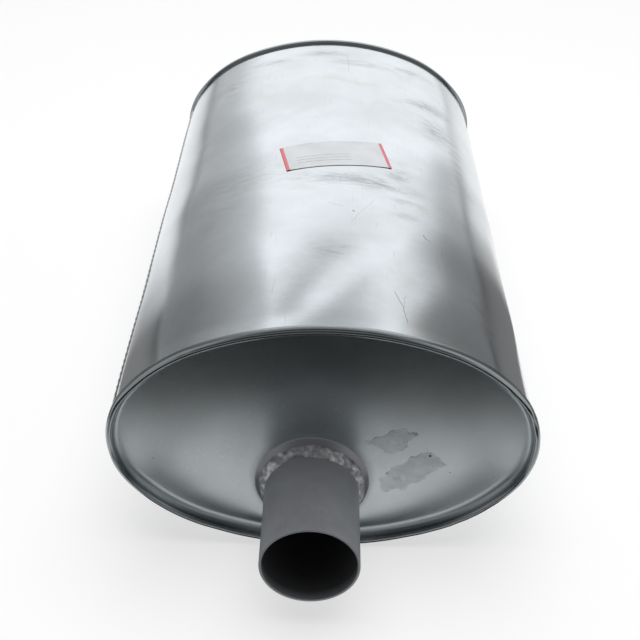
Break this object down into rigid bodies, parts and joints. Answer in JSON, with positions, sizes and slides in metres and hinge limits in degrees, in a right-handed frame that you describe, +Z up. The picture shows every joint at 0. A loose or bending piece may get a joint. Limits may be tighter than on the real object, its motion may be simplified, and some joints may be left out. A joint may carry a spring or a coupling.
{
  "type": "exhaust muffler",
  "caption": "Oval exhaust muffler of wrapped sheet with rolled end rims, recessed end caps, offset inlet and outlet pipes, and baffled tubes inside.",
  "frame": {"origin": "on the body's axis, midway between the mouths of the inlet and outlet pipes", "axes": "+Z up from the broad side that the body lies on, +Y along the body towards the outlet, +X to the right seen from the inlet"},
  "size_m": [0.2684, 0.583, 0.1736],
  "materials": {
    "coated_sheet": "semi-gloss aluminised sheet, lightly stained",
    "pipe_steel": "matt dark steel",
    "weld_metal": "rough weld bead",
    "label_paper": "matt coated paper"
  },
  "bodies": {
    "root": {"shell": "coated_sheet", "inner_wrap": "coated_sheet", "inlet_cap": "coated_sheet", "outlet_cap": "coated_sheet", "inlet_baffle": "coated_sheet", "middle_baffle": "coated_sheet", "outlet_baffle": "coated_sheet", "inlet_pipe": "pipe_steel", "outlet_pipe": "pipe_steel", "inlet_core_tube": "pipe_steel", "outlet_core_tube": "pipe_steel", "left_return_tube": "pipe_steel", "right_return_tube": "pipe_steel", "inlet_neck_weld": "weld_metal", "outlet_neck_weld": "weld_metal", "inlet_baffle_tacks": "weld_metal", "middle_baffle_tacks": "weld_metal", "outlet_baffle_tacks": "weld_metal", "label": "label_paper"}
  },
  "joints": []
}
